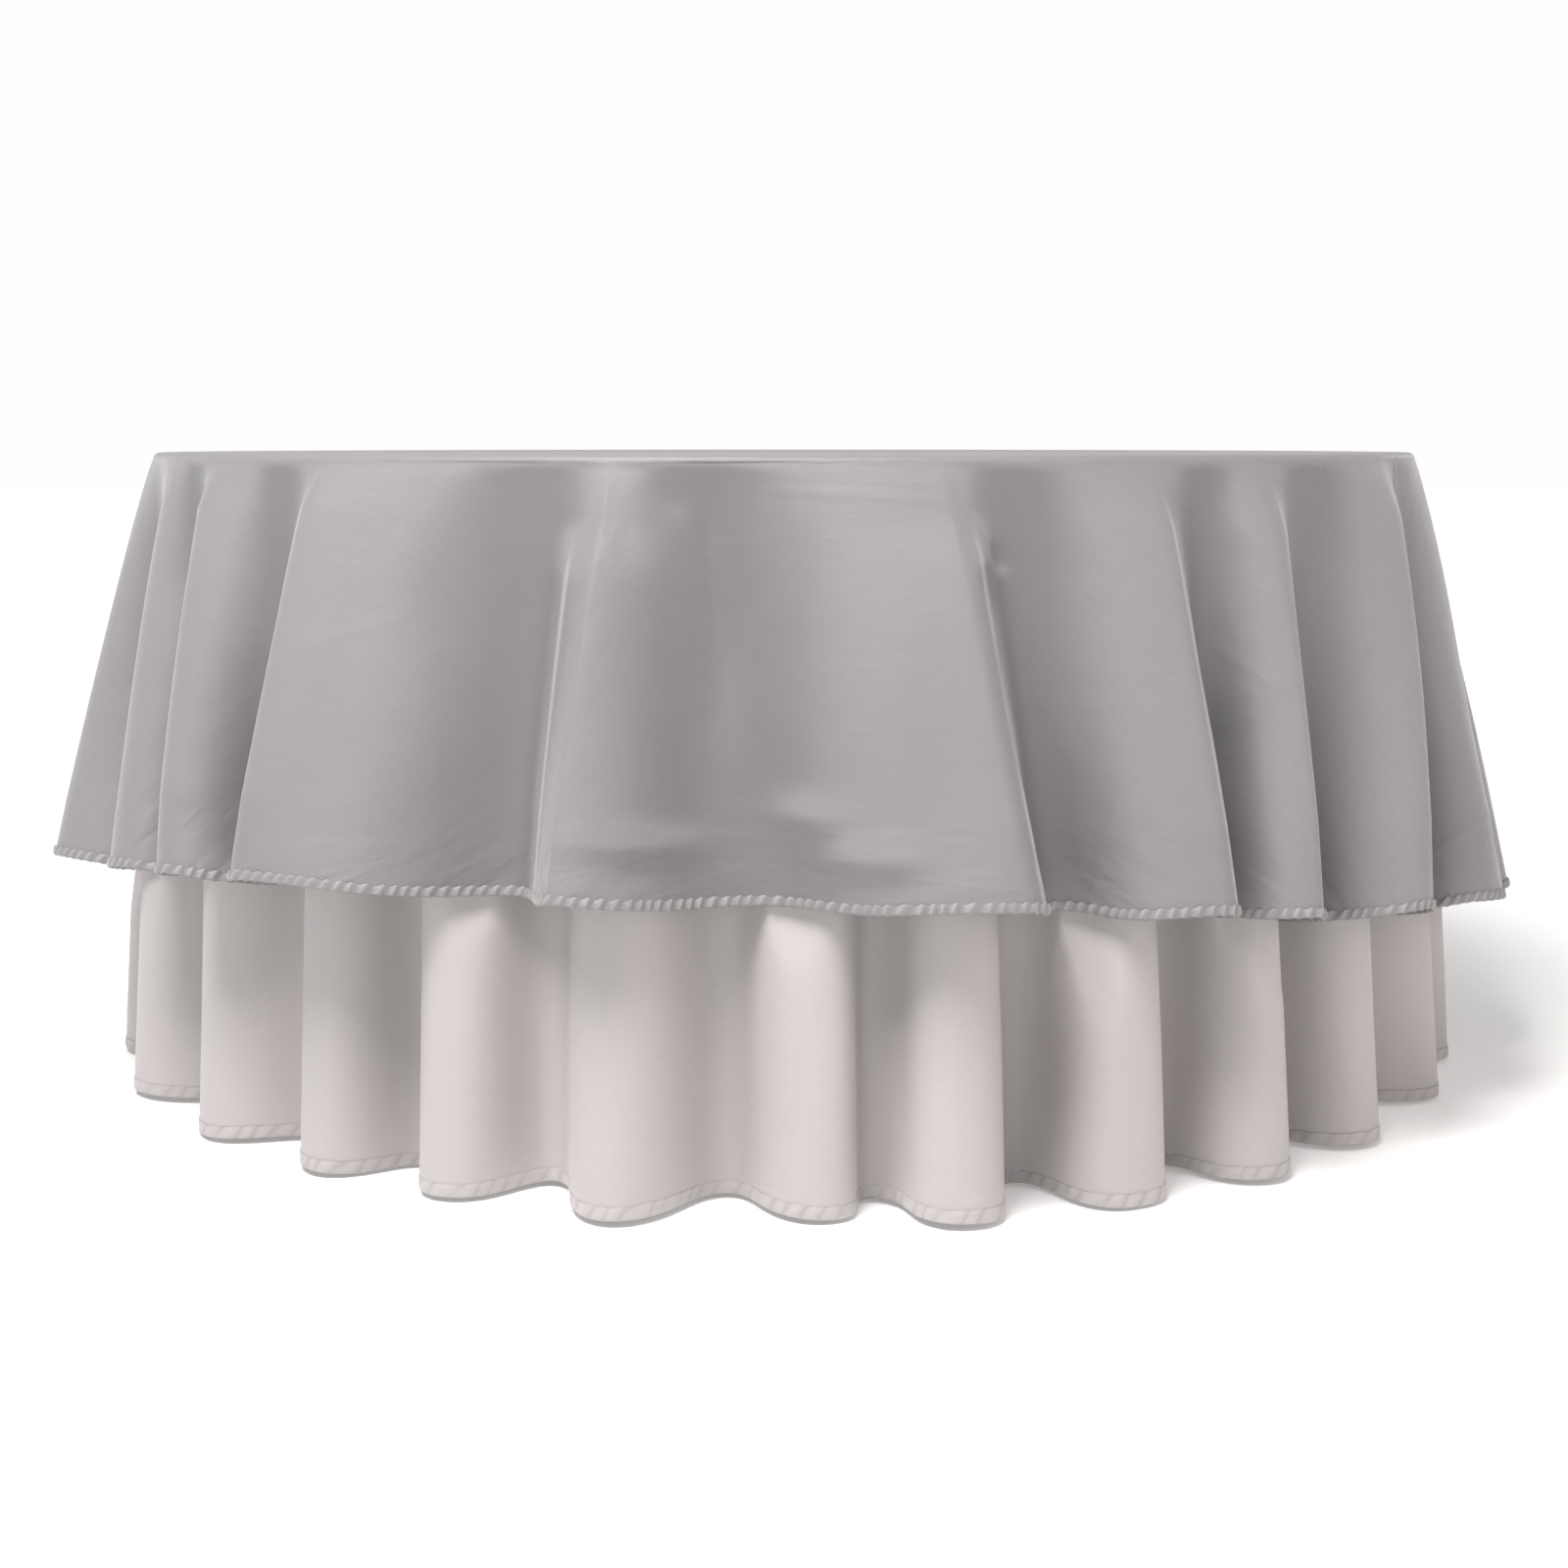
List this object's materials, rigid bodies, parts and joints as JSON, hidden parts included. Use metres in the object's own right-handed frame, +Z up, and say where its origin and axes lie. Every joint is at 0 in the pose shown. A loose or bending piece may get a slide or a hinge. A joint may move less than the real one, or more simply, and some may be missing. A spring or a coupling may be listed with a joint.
{
  "type": "round banquet table with tablecloths",
  "caption": "Round folding table dressed with a white floor-length cloth under a shorter silver-grey satin overlay with soft flared folds.",
  "frame": {"origin": "on the floor, under the centre of the round table top", "axes": "+Z up; -Y towards the front, where the overlay hangs shortest; +X to the right as seen from the front"},
  "size_m": [1.7829, 1.7672, 0.7361],
  "materials": {
    "plywood": "clear satin varnish on birch plywood",
    "hardwood": "planed and oiled",
    "band_vinyl": "matt vinyl edging",
    "leg_paint": "powder coat, fine texture",
    "zinc_steel": "zinc plated",
    "foot_rubber": "matt",
    "overlay_satin": "satin-faced polyester, soft sheen",
    "underlay_polyester": "plain-weave polyester, matt"
  },
  "bodies": {
    "table": {"table_top": "plywood", "edge_band": "band_vinyl", "batten_left": "hardwood", "pivot_bracket_left_front": "zinc_steel", "bracket_screw_left_front_inner": "zinc_steel", "bracket_screw_left_front_outer": "zinc_steel", "hanger_screw_left_front": "zinc_steel", "pivot_bracket_left_back": "zinc_steel", "bracket_screw_left_back_inner": "zinc_steel", "bracket_screw_left_back_outer": "zinc_steel", "hanger_screw_left_back": "zinc_steel", "brace_hanger_left": "zinc_steel", "hanger_pin_left": "zinc_steel", "batten_right": "hardwood", "pivot_bracket_right_front": "zinc_steel", "bracket_screw_right_front_inner": "zinc_steel", "bracket_screw_right_front_outer": "zinc_steel", "hanger_screw_right_front": "zinc_steel", "pivot_bracket_right_back": "zinc_steel", "bracket_screw_right_back_inner": "zinc_steel", "bracket_screw_right_back_outer": "zinc_steel", "hanger_screw_right_back": "zinc_steel", "brace_hanger_right": "zinc_steel", "hanger_pin_right": "zinc_steel"},
    "leg_left": {"leg_frame_left": "leg_paint", "foot_cap_left_front": "foot_rubber", "brace_collar_left_front": "foot_rubber", "foot_cap_left_back": "foot_rubber", "brace_collar_left_back": "foot_rubber"},
    "brace_upper_left": {"brace_upper_link_left": "leg_paint", "knuckle_rivet_post_left": "zinc_steel"},
    "brace_lower_left": {"brace_lower_link_left": "leg_paint", "knuckle_rivet_screw_left": "zinc_steel"},
    "leg_right": {"leg_frame_right": "leg_paint", "foot_cap_right_front": "foot_rubber", "brace_collar_right_front": "foot_rubber", "foot_cap_right_back": "foot_rubber", "brace_collar_right_back": "foot_rubber"},
    "brace_upper_right": {"brace_upper_link_right": "leg_paint", "knuckle_rivet_post_right": "zinc_steel"},
    "brace_lower_right": {"brace_lower_link_right": "leg_paint", "knuckle_rivet_screw_right": "zinc_steel"},
    "underlay": {"underlay_cloth": "underlay_polyester", "underlay_hem": "underlay_polyester"},
    "overlay": {"overlay_cloth": "overlay_satin", "overlay_hem": "overlay_satin"}
  },
  "joints": [
    {"name": "leg_left_fold", "type": "hinge", "parent": "table", "child": "leg_left", "pos_m": [-0.38, 0, 0.6705], "axis": [0, -1, 0], "range_deg": [0, 95]},
    {"name": "brace_upper_left_turn", "type": "hinge", "parent": "table", "child": "brace_upper_left", "pos_m": [-0.04, 0, 0.6925], "axis": [0, 1, 0], "range_deg": [0, 41.28]},
    {"name": "brace_lower_left_turn", "type": "hinge", "parent": "leg_left", "child": "brace_lower_left", "pos_m": [-0.40615, 0, 0.37164], "axis": [0, -1, 0], "range_deg": [0, 38.18]},
    {"name": "leg_right_fold", "type": "hinge", "parent": "table", "child": "leg_right", "pos_m": [0.38, 0, 0.6345], "axis": [0, 1, 0], "range_deg": [0, 95]},
    {"name": "brace_upper_right_turn", "type": "hinge", "parent": "table", "child": "brace_upper_right", "pos_m": [0.04, 0, 0.6565], "axis": [0, -1, 0], "range_deg": [0, 41.28]},
    {"name": "brace_lower_right_turn", "type": "hinge", "parent": "leg_right", "child": "brace_lower_right", "pos_m": [0.40615, 0, 0.33564], "axis": [0, 1, 0], "range_deg": [0, 38.18]},
    {"name": "underlay_lift", "type": "slide", "parent": "table", "child": "underlay", "axis": [0, 0, 1], "range_m": [0, 0.78]},
    {"name": "overlay_lift", "type": "slide", "parent": "underlay", "child": "overlay", "axis": [0, 0, 1], "range_m": [0, 0.58]}
  ],
  "couplings": [
    {"joint": "brace_upper_left_turn", "follows": "leg_left_fold", "ratio": 0.43398},
    {"joint": "brace_lower_left_turn", "follows": "leg_left_fold", "ratio": 0.40141},
    {"joint": "brace_upper_right_turn", "follows": "leg_right_fold", "ratio": 0.43398},
    {"joint": "brace_lower_right_turn", "follows": "leg_right_fold", "ratio": 0.40141}
  ]
}
